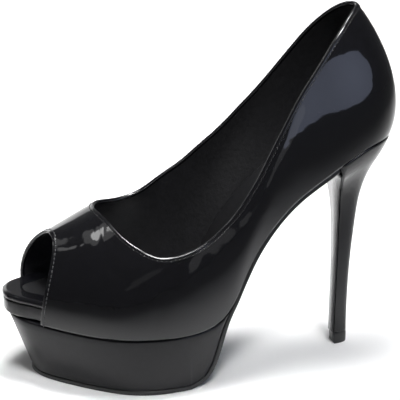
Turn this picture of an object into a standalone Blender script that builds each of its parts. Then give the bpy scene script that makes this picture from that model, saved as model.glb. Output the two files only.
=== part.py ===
import bmesh
import bpy
import numpy as np

# Named sizes in metres. X runs from the toe to the heel, Y from the lateral to the medial side, Z up
LENGTH = 0.2150
BALL_WIDTH = 0.088
BED_HEIGHT = 0.034
SEAT_HEIGHT = 0.126
TOP_HEIGHT = 0.1996
WALL = 0.0018
GAP = 0.0003
OUTSOLE = 0.0025
SHEET = 0.0008
PLATFORM_THIN = 0.0005
BOARD = 0.0042
BOARD_TOE = 0.0078
SOCK = 0.0020
SOCK_TOE = 0.0036
TOE_LIP = 0.0015
TIP_HEIGHT = 0.0065
TOE_OVERHANG = 0.013
TREAD_REACH = 0.493 * LENGTH
BOARD_LIFT = 0.0001
GROOVE = 0.0004
GROOVE_TOE = 0.0018
RIM = 0.0004
RIM_TOE = 0.0015
FOOT_ROUND = 0.0006
SHOULDER_ROUND = 0.0014
SOCK_ROUND = 0.0014
SEAT_ROUND = 0.0010
TIP_ROUND = 0.0004
BREAST_MARGIN = 0.0005

# How finely each piece is meshed
UPPER_ROWS = 15
VAMP_COLUMNS = 7
THROAT_COLUMNS = 12
QUARTER_COLUMNS = 20
INSOLE_COLUMNS = 44
TREAD_COLUMNS = 24
REAR_COLUMNS = 19
ARCH_COLUMNS = 20
HEEL_COLUMNS = 13
HEEL_LEVELS = 25

# The last's bottom, a row per station from toe tip to heel back. Along: share of LENGTH,
# bed: share of the rise from BED_HEIGHT to SEAT_HEIGHT, sides: shares of BALL_WIDTH
#        along  bed    lateral medial
LAST = (
    (0.0000, 0.035, 0.136, 0.136),
    (0.0060, 0.034, 0.057, 0.222),
    (0.0260, 0.031, -0.034, 0.313),
    (0.0651, 0.023, -0.134, 0.405),
    (0.1047, 0.015, -0.219, 0.456),
    (0.1581, 0.008, -0.324, 0.491),
    (0.2326, 0.002, -0.438, 0.500),
    (0.3164, 0.000, -0.494, 0.477),
    (0.4000, 0.002, -0.500, 0.426),
    (0.4605, 0.017, -0.472, 0.381),
    (0.5069, 0.065, -0.443, 0.347),
    (0.5441, 0.174, -0.420, 0.324),
    (0.5768, 0.326, -0.398, 0.307),
    (0.6139, 0.467, -0.375, 0.295),
    (0.6604, 0.598, -0.352, 0.284),
    (0.7162, 0.713, -0.330, 0.280),
    (0.7767, 0.804, -0.314, 0.284),
    (0.8373, 0.891, -0.302, 0.291),
    (0.8930, 0.961, -0.280, 0.277),
    (0.9396, 0.991, -0.236, 0.236),
    (0.9744, 1.000, -0.168, 0.168),
    (0.9945, 1.001, -0.086, 0.086),
    (1.0000, 1.001, 0.000, 0.000),
)
PEEP = 3
THROAT = 6
HALF_THROAT = 9
ALL_ROUND = 12
SEAT_BACK = len(LAST) - 1

# The line that the upper's sections rise to, a row per station from PEEP to heel back: the instep
# ridge in front of the throat, then a line above the collar, then the collar itself.
# Along and sides as above, height: share of the rise from BED_HEIGHT to TOP_HEIGHT
#        along  lateral height  medial height
CREST_LATERAL = (
    (0.1116, 0.091, 0.286),
    (0.1349, 0.091, 0.299),
    (0.1745, 0.089, 0.326),
    (0.2255, 0.084, 0.362),
    (0.3210, -0.080, 0.405),
    (0.4093, -0.295, 0.393),
    (0.4698, -0.375, 0.377),
    (0.5187, -0.386, 0.389),
    (0.5581, -0.378, 0.426),
    (0.5930, -0.364, 0.477),
    (0.6302, -0.347, 0.553),
    (0.6721, -0.325, 0.643),
    (0.7162, -0.300, 0.737),
    (0.7629, -0.268, 0.818),
    (0.8046, -0.232, 0.888),
    (0.8419, -0.184, 0.942),
    (0.8697, -0.134, 0.975),
    (0.8897, -0.086, 0.992),
    (0.9023, -0.043, 0.998),
    (0.9070, 0.000, 1.000),
)
CREST_MEDIAL = (
    (0.1116, 0.091, 0.286),
    (0.1349, 0.091, 0.299),
    (0.1745, 0.089, 0.326),
    (0.2255, 0.084, 0.362),
    (0.3210, 0.165, 0.420),
    (0.4093, 0.347, 0.435),
    (0.4698, 0.375, 0.450),
    (0.5187, 0.368, 0.483),
    (0.5581, 0.352, 0.525),
    (0.5930, 0.339, 0.568),
    (0.6302, 0.325, 0.616),
    (0.6721, 0.309, 0.673),
    (0.7162, 0.293, 0.740),
    (0.7629, 0.266, 0.818),
    (0.8046, 0.232, 0.888),
    (0.8419, 0.184, 0.942),
    (0.8697, 0.134, 0.975),
    (0.8897, 0.086, 0.992),
    (0.9023, 0.043, 0.998),
    (0.9070, 0.000, 1.000),
)
# How each section swells, a row per station as above. All are shares of the section's height,
# and reach is a share of the plan distance from foot to crest. The leans are backwards, for each side
#    foot out, up, lateral and medial lean, reach, swell, drop
SWELL = (
    (0.20, 0.50, 0.13, -0.02, 0.56, 0.00, 0.03),
    (0.16, 0.50, 0.08, 0.00, 0.53, 0.00, 0.01),
    (0.12, 0.50, 0.03, 0.01, 0.53, 0.00, 0.00),
    (0.10, 0.48, 0.00, 0.00, 0.55, 0.00, 0.00),
    (0.07, 0.45, 0.00, 0.00, 0.60, 0.01, 0.03),
    (0.05, 0.42, 0.00, 0.00, 0.62, 0.03, 0.14),
    (0.05, 0.38, 0.00, 0.00, 0.60, 0.04, 0.25),
    (0.05, 0.36, 0.00, 0.00, 0.58, 0.05, 0.30),
    (0.05, 0.34, 0.00, 0.00, 0.56, 0.06, 0.33),
    (0.05, 0.33, 0.00, 0.00, 0.55, 0.06, 0.33),
    (0.05, 0.33, 0.00, 0.00, 0.55, 0.06, 0.33),
    (0.05, 0.33, 0.00, 0.00, 0.55, 0.06, 0.33),
    (0.06, 0.33, 0.00, 0.00, 0.55, 0.06, 0.33),
    (0.06, 0.33, 0.00, 0.00, 0.55, 0.05, 0.33),
    (0.07, 0.33, 0.00, 0.00, 0.55, 0.04, 0.33),
    (0.08, 0.33, 0.00, 0.00, 0.57, 0.03, 0.32),
    (0.10, 0.32, 0.00, 0.00, 0.60, 0.03, 0.30),
    (0.115, 0.31, 0.00, 0.00, 0.63, 0.035, 0.28),
    (0.128, 0.30, 0.00, 0.00, 0.65, 0.04, 0.27),
    (0.128, 0.30, 0.00, 0.00, 0.65, 0.04, 0.27),
)
HIGH_LEAN = 0.6

# The collar cut seen from each side, shares as in the crest tables
#        along  height
CUT_LATERAL = (
    (0.2255, 0.362),
    (0.2326, 0.359),
    (0.2465, 0.345),
    (0.2628, 0.323),
    (0.2837, 0.303),
    (0.3116, 0.283),
    (0.3442, 0.268),
    (0.3768, 0.268),
    (0.4140, 0.278),
    (0.4558, 0.298),
    (0.4977, 0.332),
    (0.5395, 0.380),
    (0.5675, 0.423),
    (0.5999, 0.483),
    (0.6326, 0.556),
    (0.6791, 0.662),
    (0.7256, 0.780),
    (0.8217, 0.990),
    (0.9505, 1.200),
)
CUT_MEDIAL = (
    (0.2255, 0.362),
    (0.2326, 0.361),
    (0.2511, 0.351),
    (0.2791, 0.339),
    (0.3164, 0.333),
    (0.3674, 0.345),
    (0.4140, 0.377),
    (0.4512, 0.408),
    (0.4977, 0.452),
    (0.5395, 0.500),
    (0.5768, 0.543),
    (0.6186, 0.598),
    (0.6604, 0.660),
    (0.7070, 0.740),
    (0.8217, 0.990),
    (0.9505, 1.200),
)
# The sole seen from the side between the flat tread and the arch: the bed's station above it,
# along as share of LENGTH, height as share of BED_HEIGHT
#        station along height
SOLE_LINE = (
    (8.9, 0.4591, 0.055),
    (9.5, 0.4846, 0.205),
    (9.9, 0.5023, 0.450),
    (10.2, 0.5168, 0.770),
    (10.5, 0.5326, 1.080),
)
# The sole's width as a share of the last's, by station
SOLE_WIDTH = (
    (0.0, 0.960),
    (4.0, 0.970),
    (6.0, 0.960),
    (7.5, 0.925),
    (8.5, 0.885),
    (9.3, 0.870),
    (10.0, 0.895),
    (10.8, 0.940),
    (12.5, 0.970),
    (18.0, 0.970),
)
# Stations where the flat tread, the platform and the outsole end, and where the heel's front face is
TREAD_END = 8.2
PLATFORM_END = 10.8
OUTSOLE_END = 16.8
BREAST = 17.0

# Where a size turns from its toe value to its value behind, first and last station
INSET_TURN = (0.8, PEEP - 0.05)
BOARD_TURN = (4.0, 7.0)
SOCK_TURN = (3.5, 6.0)
RIM_TURN = (0.0, 5.0)
SHARP_TURN = (9.4, PLATFORM_END)
SQUARE_TURN = (3.0, 7.0)

# Edge profiles from the bottom up: inset as share of the edge's own rounding,
# height as share of the piece's thickness
OUTSOLE_EDGE = (
    (1.00, 0.00),
    (0.00, 0.24),
    (0.00, 0.84),
    (0.67, 1.00),
)
SOCK_EDGE = (
    (0.57, 0.00),
    (0.00, 0.35),
    (0.00, 0.65),
    (0.36, 0.90),
    (1.00, 1.00),
)
TIP_EDGE = (
    (1.00, 0.00),
    (0.00, 0.08),
    (-0.25, 0.95),
    (0.75, 1.00),
)
# The top edges of the platform and the heel: inset and depth as shares of the edge's rounding
PLATFORM_TOP = (
    (0.00, 1.00),
    (0.29, 0.29),
    (1.00, 0.00),
)
HEEL_TOP = (
    (0.50, 1.00),
    (1.20, 0.00),
)

# The heel in level slices. Height: share of the rise from the tip to SEAT_HEIGHT, front and back:
# shares of LENGTH, half width: share of BALL_WIDTH, tilt: how far the slice tilts with the seat
#    height  front   back    half   tilt
HEEL = (
    (0.000, 0.8644, 0.9028, 0.048, 0.00),
    (0.161, 0.8661, 0.9032, 0.049, 0.00),
    (0.312, 0.8673, 0.9064, 0.054, 0.00),
    (0.446, 0.8677, 0.9118, 0.061, 0.00),
    (0.572, 0.8673, 0.9188, 0.072, 0.05),
    (0.672, 0.8647, 0.9262, 0.092, 0.15),
    (0.748, 0.8609, 0.9370, 0.124, 0.35),
    (0.815, 0.8557, 0.9520, 0.172, 0.60),
    (0.873, 0.8495, 0.9710, 0.226, 0.85),
)
# The row where the breast cover starts to narrow, and how much of its width's square it loses
BREAST_ROUND = 7.4
BREAST_END = 0.9


def row_spline(rows, at, closed=False):
    """The cubic spline through a table's rows, read at fractional row numbers."""
    rows = np.asarray(rows, float)
    count = len(rows)
    if closed:
        rows = np.concatenate([rows, rows[:1]])
    system = 4.0 * np.eye(len(rows))
    pull = np.zeros_like(rows)
    for row in range(1, len(rows) - 1):
        system[row, [row - 1, row + 1]] = 1.0
        pull[row] = 6.0 * (rows[row + 1] - 2.0 * rows[row] + rows[row - 1])
    if closed:
        system[0, [1, count - 1]] = 1.0
        system[count, [1, count - 1]] = 1.0
        pull[[0, count]] = 6.0 * (rows[1] - 2.0 * rows[0] + rows[count - 1])
    bend = np.linalg.solve(system, pull)
    at = np.asarray(at, float)
    low = np.clip(np.floor(at).astype(int), 0, len(rows) - 2)
    after = (at - low)[:, None]
    before = 1.0 - after
    straight = before * rows[low] + after * rows[low + 1]
    return straight + ((before**3 - before) * bend[low] + (after**3 - after) * bend[low + 1]) / 6.0


def feather(stations, side, inset=0.0):
    """The last's bottom edge at some stations, moved inwards. Side is -1 for lateral and 1 for medial."""
    table = np.array(LAST)
    lateral = table[:, [0, 2, 1]]
    medial = table[-2:0:-1, [0, 3, 1]]
    loop = np.concatenate([lateral, medial]) * (LENGTH, BALL_WIDTH, SEAT_HEIGHT - BED_HEIGHT)
    around = np.asarray(stations, float)
    if side > 0:
        around = len(loop) - around
    around = np.mod(around, len(loop))
    step = 0.01
    edge = row_spline(loop, around, closed=True)
    ahead = row_spline(loop, np.mod(around + step, len(loop)), closed=True)
    behind = row_spline(loop, np.mod(around - step, len(loop)), closed=True)
    run = (ahead - behind)[:, :2]
    inwards = np.stack([-run[:, 1], run[:, 0]], 1) / np.linalg.norm(run, axis=1)[:, None]
    edge[:, :2] += np.multiply(inwards.T, inset).T
    edge[:, 2] = bed_height(edge[:, 0])
    return edge, -inwards


def bed_height(along):
    """The height of the last's bottom above the floor."""
    table = np.array(LAST)[:, :2] * (LENGTH, SEAT_HEIGHT - BED_HEIGHT)
    loop = np.concatenate([table, table[-2:0:-1]])
    fine = row_spline(loop, np.linspace(0.0, SEAT_BACK, 1200), closed=True)
    return BED_HEIGHT + np.interp(along, fine[:, 0], fine[:, 1])


def bed_normal(along):
    """The direction square to the bed in the side view, as (x, z)."""
    step = LENGTH / 400.0
    slope = (bed_height(along + step) - bed_height(along - step)) / (2.0 * step)
    size = np.hypot(slope, 1.0)
    return np.stack([-slope / size, 1.0 / size], 1)


def collar_height(along, side):
    """The collar cut's height seen from one side."""
    table = np.array(CUT_LATERAL if side < 0 else CUT_MEDIAL)
    fine = row_spline(table, np.linspace(0.0, len(table) - 1.0, 600))
    share = np.interp(along / LENGTH, fine[:, 0], fine[:, 1])
    return BED_HEIGHT + share * (TOP_HEIGHT - BED_HEIGHT)


def sections(stations, side, rows):
    """The upper's outer face as a grid: a section per station, from the feather edge to its top."""
    foot, outwards = feather(stations, side)
    at = np.asarray(stations, float) - PEEP
    scale = (LENGTH, BALL_WIDTH, TOP_HEIGHT - BED_HEIGHT)
    crest = row_spline(CREST_LATERAL if side < 0 else CREST_MEDIAL, at) * scale
    ridge = row_spline(np.add(CREST_LATERAL, CREST_MEDIAL) / 2.0, at) * scale
    crest = np.where(np.asarray(stations)[:, None] <= THROAT, ridge, crest)
    crest[:, 2] += BED_HEIGHT
    swell = row_spline(SWELL, at)
    height = (crest - foot)[:, 2]
    width = np.linalg.norm((crest - foot)[:, :2], axis=1)
    turn = fade(stations, (THROAT, ALL_ROUND))[:, None]
    across = (1.0 - turn) * np.array([0.0, side]) + turn * outwards
    low = foot.copy()
    low[:, :2] += outwards * (swell[:, 0] * height)[:, None]
    lean = swell[:, 2 if side < 0 else 3] * height
    low[:, 0] += lean
    low[:, 2] += swell[:, 1] * height
    high = crest.copy()
    high[:, :2] += across * (swell[:, 4] * width + swell[:, 5] * height)[:, None]
    high[:, 0] += HIGH_LEAN * lean
    high[:, 2] -= swell[:, 6] * height
    return cut_sections(stations, side, rows, (foot, low, high, crest))


def cut_sections(stations, side, rows, corners):
    """Each section as a cubic curve, ended where the collar cut crosses it."""
    foot, low, high, crest = (corner[:, None, :] for corner in corners)

    def curve(share):
        rest = 1.0 - share
        return (
            rest**3 * foot
            + 3.0 * rest**2 * share * low
            + 3.0 * rest * share**2 * high
            + share**3 * crest
        )

    fine = np.linspace(0.0, 1.0, 801)
    points = curve(fine[None, :, None])
    over = points[:, :, 2] - collar_height(points[:, :, 0], side)
    end = np.ones(len(stations))
    for index, station in enumerate(stations):
        crossed = np.flatnonzero(over[index] > 0.0)
        if station > THROAT and len(crossed) and crossed[0] > 0:
            first = crossed[0]
            part = over[index, first - 1] / (over[index, first - 1] - over[index, first])
            end[index] = fine[first - 1] + part * (fine[1] - fine[0])
    return curve(np.linspace(0.0, 1.0, rows)[None, :, None] * end[:, None, None])


def upper_stations():
    """Stations from the toe edge to the heel back, close together just behind the throat."""
    vamp = np.linspace(PEEP, THROAT, VAMP_COLUMNS)
    throat = THROAT + (HALF_THROAT - THROAT) * np.linspace(0.0, 1.0, THROAT_COLUMNS) ** 1.8
    quarter = np.linspace(HALF_THROAT, SEAT_BACK, QUARTER_COLUMNS)
    return np.concatenate([vamp, throat[1:], quarter[1:]])


def surface(name, colour, roughness, metallic=0.0):
    material = bpy.data.materials.new(name)
    material.use_nodes = True
    shader = material.node_tree.nodes["Principled BSDF"]
    shader.inputs["Base Color"].default_value = (*colour, 1.0)
    shader.inputs["Roughness"].default_value = roughness
    shader.inputs["Metallic"].default_value = metallic
    return material


def add_object(name, points, faces, material):
    """A mesh object with its doubled points joined and its faces turned outwards."""
    body = bmesh.new()
    corners = [body.verts.new(point) for point in np.asarray(points, float)]
    for face in faces:
        body.faces.new([corners[index] for index in face])
    bmesh.ops.remove_doubles(body, verts=body.verts, dist=1e-6)
    bmesh.ops.dissolve_degenerate(body, edges=body.edges, dist=1e-7)
    bmesh.ops.recalc_face_normals(body, faces=body.faces)
    mesh = bpy.data.meshes.new(name)
    body.to_mesh(mesh)
    body.free()
    mesh.materials.append(material)
    for polygon in mesh.polygons:
        polygon.use_smooth = True
    item = bpy.data.objects.new(name, mesh)
    bpy.context.scene.collection.objects.link(item)
    return item


def grid_faces(columns, rows, first=0):
    """Quads over a grid of columns by rows whose points follow one another column by column."""
    return [
        (
            first + column * rows + row,
            first + (column + 1) * rows + row,
            first + (column + 1) * rows + row + 1,
            first + column * rows + row + 1,
        )
        for column in range(columns - 1)
        for row in range(rows - 1)
    ]


def add_stack(name, levels, material):
    """A body between stacked outlines. A level is a pair of edges, lateral and medial, from toe to heel."""
    count = len(levels[0][0])
    points = np.concatenate([np.concatenate([lateral, medial[::-1]]) for lateral, medial in levels])
    ring = 2 * count
    faces = []
    for level in range(len(levels) - 1):
        for index in range(ring):
            after = (index + 1) % ring
            base = level * ring
            faces.append((base + index, base + after, base + ring + after, base + ring + index))
    for base in (0, (len(levels) - 1) * ring):
        for index in range(count - 1):
            far = ring - 1 - index
            faces.append((base + index, base + index + 1, base + far - 1, base + far))
    return add_object(name, points, faces, material)


def level_on_bed(stations, inset, lift):
    """A pair of edges that follows the last's bottom at some distance inside its edge and above it."""
    pair = []
    for side in (-1, 1):
        edge, _ = feather(stations, side, inset)
        along = edge[:, 0].copy()
        normal = bed_normal(along)
        edge[:, 0] = along + normal[:, 0] * lift
        edge[:, 2] = edge[:, 2] + normal[:, 1] * lift
        pair.append(edge)
    return pair


def make_upper():
    stations = upper_stations()
    points = []
    faces = []
    for side in (-1, 1):
        grid = sections(stations, side, UPPER_ROWS)
        faces += grid_faces(len(stations), UPPER_ROWS, len(points))
        points += list(grid.reshape(-1, 3))
    upper = add_object("upper", points, faces, surface("patent_upper", (0.008, 0.008, 0.009), 0.12))
    wall = upper.modifiers.new("wall", "SOLIDIFY")
    wall.thickness = WALL
    wall.offset = -1.0
    wall.use_even_offset = True
    return upper


def make_insole_board():
    stations = smooth_stations(0.0, SEAT_BACK, INSOLE_COLUMNS)
    inset = insole_inset(stations)
    lift = blend(stations, BOARD_TURN, BOARD_TOE, BOARD)
    groove = blend(stations, BOARD_TURN, GROOVE_TOE, GROOVE)
    levels = [
        level_on_bed(stations, inset + groove, BOARD_LIFT),
        level_on_bed(stations, inset + 0.3 * groove, 0.4 * groove),
        level_on_bed(stations, inset, groove),
        level_on_bed(stations, inset, lift - FOOT_ROUND),
        level_on_bed(stations, inset + FOOT_ROUND, lift),
    ]
    return add_stack("insole_board", levels, surface("patent_band", (0.008, 0.008, 0.009), 0.14))


def make_insole():
    stations = smooth_stations(0.0, SEAT_BACK, INSOLE_COLUMNS)
    inset = insole_inset(stations)
    base = blend(stations, BOARD_TURN, BOARD_TOE, BOARD) + GAP
    thick = blend(stations, SOCK_TURN, SOCK_TOE, SOCK)
    levels = [
        level_on_bed(stations, inset + narrow * SOCK_ROUND, base + share * thick)
        for narrow, share in SOCK_EDGE
    ]
    return add_stack("insole", levels, surface("sock_lining", (0.012, 0.012, 0.012), 0.5))


def smooth_stations(first, last, count):
    """Stations that gather at both round ends."""
    share = np.linspace(0.0, 1.0, count)
    return first + (last - first) * (share + 0.25 * (share - np.sin(0.5 * np.pi * share) ** 2))


def fade(stations, turn):
    """0 before a turn's first station, 1 after its last, smooth between."""
    start, end = turn
    share = np.clip((np.asarray(stations) - start) / (end - start), 0.0, 1.0)
    return share * share * (3.0 - 2.0 * share)


def blend(stations, turn, before, after):
    """One size before a turn, another after it."""
    return before + (after - before) * fade(stations, turn)


def insole_inset(stations):
    """How far the insole keeps inside the feather edge: a little proud at the toe, inside the wall behind."""
    return blend(stations, INSET_TURN, -TOE_LIP, WALL + 2.0 * GAP)


def sole_path(stations):
    """The outsole's underside in the side view, as (x, z) and its upward normal: tread, rear face, arch."""
    squeeze = 1.0 - TOE_OVERHANG / TREAD_REACH

    def tread(at):
        along = feather(at, -1)[0][:, 0]
        return np.stack([TREAD_REACH - (TREAD_REACH - along) * squeeze, np.zeros(len(along))], 1)

    lead = TREAD_END + np.array([-1.2, -0.8, -0.4, 0.0])
    rise = np.array(SOLE_LINE)
    arch = np.append(PLATFORM_END, np.linspace(PLATFORM_END + 0.5, BREAST + 0.2, 12))
    bed = feather(arch, -1)[0]
    depth = np.full((len(arch), 1), OUTSOLE + GAP)
    depth[0] += GAP + PLATFORM_THIN
    down = bed_normal(bed[:, 0]) * depth
    knots = np.concatenate([lead, rise[:, 0], arch])
    rows = np.concatenate([tread(lead), rise[:, 1:] * (LENGTH, BED_HEIGHT), bed[:, [0, 2]] - down])

    def path(at):
        curve = row_spline(rows, np.interp(at, knots, np.arange(len(knots))))
        return np.where(np.asarray(at)[:, None] <= TREAD_END, tread(at), curve)

    stations = np.asarray(stations, float)
    middle = path(stations)
    run = path(stations + 0.02) - path(np.maximum(stations - 0.02, 0.0))
    normal = np.stack([-run[:, 1], run[:, 0]], 1) / np.linalg.norm(run, axis=1)[:, None]
    normal[stations <= TREAD_END] = (0.0, 1.0)
    return middle, normal


def level_on_sole(stations, inset, lift):
    """A pair of edges that follows the outsole's underside, inside its edge and above it."""
    path, normal = sole_path(stations)
    normal = (normal.T * lift).T
    width = np.array(SOLE_WIDTH)
    fine = row_spline(width, np.linspace(0.0, len(width) - 1.0, 400))
    narrow = np.interp(stations, fine[:, 0], fine[:, 1])
    shorten = 1.0 - fade(stations, SQUARE_TURN)
    pair = []
    for side in (-1, 1):
        outline = feather(stations, side)[0]
        edge = feather(stations, side, inset)[0]
        along = path[:, 0] + (edge[:, 0] - outline[:, 0]) * shorten + normal[:, 0]
        pair.append(np.stack([along, edge[:, 1] * narrow, path[:, 1] + normal[:, 1]], 1))
    return pair


def platform_stations():
    """Stations from the toe to the platform's rear, close together where the sole turns up."""
    rear = np.linspace(TREAD_END, PLATFORM_END, REAR_COLUMNS)
    return np.concatenate([smooth_stations(0.0, TREAD_END, TREAD_COLUMNS), rear[1:]])


def make_outsole():
    arch = np.linspace(PLATFORM_END, OUTSOLE_END, ARCH_COLUMNS)
    stations = np.concatenate([platform_stations(), arch[1:]])
    levels = [
        level_on_sole(stations, narrow * FOOT_ROUND, share * OUTSOLE)
        for narrow, share in OUTSOLE_EDGE
    ]
    return add_stack("outsole", levels, surface("outsole_rubber", (0.014, 0.014, 0.015), 0.55))


def make_platform():
    stations = platform_stations()
    rim = blend(stations, RIM_TURN, RIM_TOE, RIM)
    soft = blend(stations, SHARP_TURN, 1.0, 0.1)
    base = level_on_sole(stations, FOOT_ROUND, OUTSOLE + GAP + FOOT_ROUND * soft)
    top = [
        level_on_bed(stations, rim + narrow * SHOULDER_ROUND, -GAP - depth * SHOULDER_ROUND * soft)
        for narrow, depth in PLATFORM_TOP
    ]
    levels = [level_on_sole(stations, 2.0 * FOOT_ROUND, OUTSOLE + GAP), base]
    for share in (0.33, 0.67):
        levels.append([(1.0 - share) * low + share * high for low, high in zip(base, top[0])])
    levels += top
    return add_stack("platform", levels, surface("patent_platform", (0.008, 0.008, 0.009), 0.12))


def heel_outline(front, back, half, stations):
    """A D-shaped slice with the seat's own curve, flat in front, as lateral and medial (x, y) edges."""
    pair = []
    for side in (-1, 1):
        seat = feather(stations, side)[0][:, :2]
        share = (seat - seat[0] * (1.0, 0.0)) / (LENGTH - seat[0, 0], abs(seat[0, 1]))
        pair.append(np.stack([front + share[:, 0] * (back - front), share[:, 1] * half], 1))
    return pair


def heel_slices(heights):
    """The heel's table read at fractional rows, in metres: height, front, back, half width and tilt."""
    foot = TIP_HEIGHT + GAP
    slices = row_spline(HEEL, heights) * (SEAT_HEIGHT - foot, LENGTH, LENGTH, BALL_WIDTH, 1.0)
    slices[:, 0] += foot
    return slices


def make_heel():
    stations = np.linspace(BREAST, SEAT_BACK, HEEL_COLUMNS)
    levels = []
    for height, front, back, half, tilt in heel_slices(np.linspace(0.0, len(HEEL) - 1.0, HEEL_LEVELS)):
        middle = bed_height((front + back) / 2.0)
        pair = []
        for edge in heel_outline(front, back, half, stations):
            level = height + tilt * (bed_height(edge[:, 0]) - middle)
            pair.append(np.column_stack([edge, level]))
        levels.append(pair)
    levels += [
        level_on_bed(stations, narrow * SEAT_ROUND, -GAP - depth * SEAT_ROUND)
        for narrow, depth in HEEL_TOP
    ]
    return add_stack("heel", levels, surface("patent_heel", (0.008, 0.008, 0.009), 0.12))


def make_heel_breast():
    """A thin cover in front of the heel's flat face, narrowed to a round end at the top."""
    rows = np.linspace(0.0, len(HEEL) - 1.0, HEEL_LEVELS)
    levels = []
    for row, (height, front, rear, half, tilt) in zip(rows, heel_slices(rows)):
        middle = bed_height((front + rear) / 2.0)
        into_end = np.clip((row - BREAST_ROUND) / (len(HEEL) - 1.0 - BREAST_ROUND), 0.0, 1.0)
        width = (half - BREAST_MARGIN) * np.sqrt(1.0 - BREAST_END * into_end**2)
        back = front - GAP
        pair = []
        for side in (-1, 1):
            along = np.array([back - SHEET, back])
            level = height + tilt * (bed_height(along) - middle)
            pair.append(np.stack([along, np.full(2, side * width), level], 1))
        levels.append(pair)
    return add_stack("heel_breast", levels, surface("patent_breast", (0.02, 0.02, 0.022), 0.2))


def make_heel_tip():
    _, front, back, half, _ = heel_slices([0.0])[0]
    stations = np.linspace(BREAST, SEAT_BACK, HEEL_COLUMNS)
    levels = []
    for narrow, share in TIP_EDGE:
        inset = narrow * TIP_ROUND
        pair = heel_outline(front + inset, back - inset, half - inset, stations)
        levels.append([np.column_stack([edge, np.full(len(edge), share * TIP_HEIGHT)]) for edge in pair])
    return add_stack("heel_tip", levels, surface("tip_rubber", (0.012, 0.012, 0.012), 0.5))


def clear_scene():
    for item in list(bpy.data.objects):
        bpy.data.objects.remove(item, do_unlink=True)


def centre_on_floor(items):
    """Moves the points so that the shoe's box stands on the origin by the middle of its underside."""
    points = np.concatenate([[vertex.co[:] for vertex in item.data.vertices] for item in items])
    low, high = points.min(0), points.max(0)
    shift = np.array([(low[0] + high[0]) / 2.0, (low[1] + high[1]) / 2.0, low[2]])
    for item in items:
        for vertex in item.data.vertices:
            vertex.co = np.array(vertex.co[:]) - shift


clear_scene()
centre_on_floor(
    [
        make_upper(),
        make_platform(),
        make_outsole(),
        make_insole_board(),
        make_insole(),
        make_heel(),
        make_heel_breast(),
        make_heel_tip(),
    ]
)
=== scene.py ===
import math

import bmesh
import bpy
import numpy as np
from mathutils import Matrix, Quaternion, Vector
from mathutils.bvhtree import BVHTree


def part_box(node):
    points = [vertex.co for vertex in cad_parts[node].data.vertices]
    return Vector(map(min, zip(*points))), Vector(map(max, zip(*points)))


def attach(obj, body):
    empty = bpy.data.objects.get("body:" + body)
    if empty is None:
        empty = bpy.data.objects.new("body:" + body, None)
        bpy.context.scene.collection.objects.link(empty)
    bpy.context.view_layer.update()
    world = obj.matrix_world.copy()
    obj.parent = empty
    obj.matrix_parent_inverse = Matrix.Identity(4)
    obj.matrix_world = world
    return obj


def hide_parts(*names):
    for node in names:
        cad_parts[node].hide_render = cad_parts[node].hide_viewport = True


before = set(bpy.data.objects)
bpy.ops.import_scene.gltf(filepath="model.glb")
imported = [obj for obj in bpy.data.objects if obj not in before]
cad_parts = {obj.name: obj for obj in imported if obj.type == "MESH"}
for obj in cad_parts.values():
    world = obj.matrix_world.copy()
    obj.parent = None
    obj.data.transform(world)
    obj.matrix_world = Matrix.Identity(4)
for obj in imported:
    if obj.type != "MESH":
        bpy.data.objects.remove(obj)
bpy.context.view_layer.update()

# Named sizes in metres. X runs from the toe to the heel, Y from the lateral to the medial side, Z up
LENGTH = 0.2150
BALL_WIDTH = 0.088
BED_HEIGHT = 0.034
SEAT_HEIGHT = 0.126
TOP_HEIGHT = 0.1996
WALL = 0.0018
GAP = 0.0003
OUTSOLE = 0.0025
SHEET = 0.0008
PLATFORM_THIN = 0.0005
BOARD = 0.0042
BOARD_TOE = 0.0078
SOCK = 0.0020
SOCK_TOE = 0.0036
TOE_LIP = 0.0015
TIP_HEIGHT = 0.0065
TOE_OVERHANG = 0.013
TREAD_REACH = 0.493 * LENGTH
BOARD_LIFT = 0.0001
GROOVE = 0.0004
GROOVE_TOE = 0.0018
RIM = 0.0004
RIM_TOE = 0.0015
FOOT_ROUND = 0.0006
SHOULDER_ROUND = 0.0014
SOCK_ROUND = 0.0014
SEAT_ROUND = 0.0010
TIP_ROUND = 0.0004
BREAST_MARGIN = 0.0005
SEAT_INSET = 0.00015
BREAST_ROUNDING = 0.0004

# The patent strip over the insole's front edge: its width and thickness, how far its rear edge and its hem
# reach past the width, and how deep it sinks into the sock
STRIP_WIDTH = 0.0095
STRIP_THICK = 0.0004
STRIP_LIP = 0.0003
STRIP_HEM = 0.0002
STRIP_SINK = 0.0003
# The station where it ends, the angle where its section starts under the insole's edge,
# the share of its thickness at its rear edge and of the sock's rounding where its section closes
STRIP_END = 4.6
STRIP_START = -80.0
STRIP_EDGE = 0.3
STRIP_INSIDE = 0.4

# Folded edges and stitches
EDGE_STEP = 0.0012
FOLD_WIDTH = 0.00105
FOLD_DEPTH = 0.0013
FOLD_SINK = 0.0003
NORMAL_ROUNDS = 6
OUTWARD_ROUNDS = 4
STITCH_IN = 0.0020
STITCH_PITCH = 0.0024
STITCH_LENGTH = 0.0017
STITCH_RADIUS = 0.00026

# How finely each piece is meshed, so that the patent leather mirrors smoothly
FINE_ROWS = 72
FINE_VAMP = 72
FINE_THROAT = 50
FINE_QUARTER = 150
FINE_INSOLE = 150
FINE_TREAD = 110
FINE_REAR = 60
FINE_ARCH = 60
FINE_STRIP = 90
FINE_HEEL = 40
FINE_LEVELS = 130
FINE_BREAST = 160
FINE_FLARE = 40
FOOT_STEPS = 5
SIDE_STEPS = 9
SHOULDER_STEPS = 7
SOCK_STEPS = 13
STRIP_STEPS = 14
STRIP_ROWS = 9
FLARE_STEPS = 16
FOLD_SIDES = 14
STITCH_SIDES = 8
CREASE_STEPS = 40

# How many points curves are read at
BED_SAMPLES = 1200
COLLAR_SAMPLES = 600
WIDTH_SAMPLES = 400
SECTION_SAMPLES = 801
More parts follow.
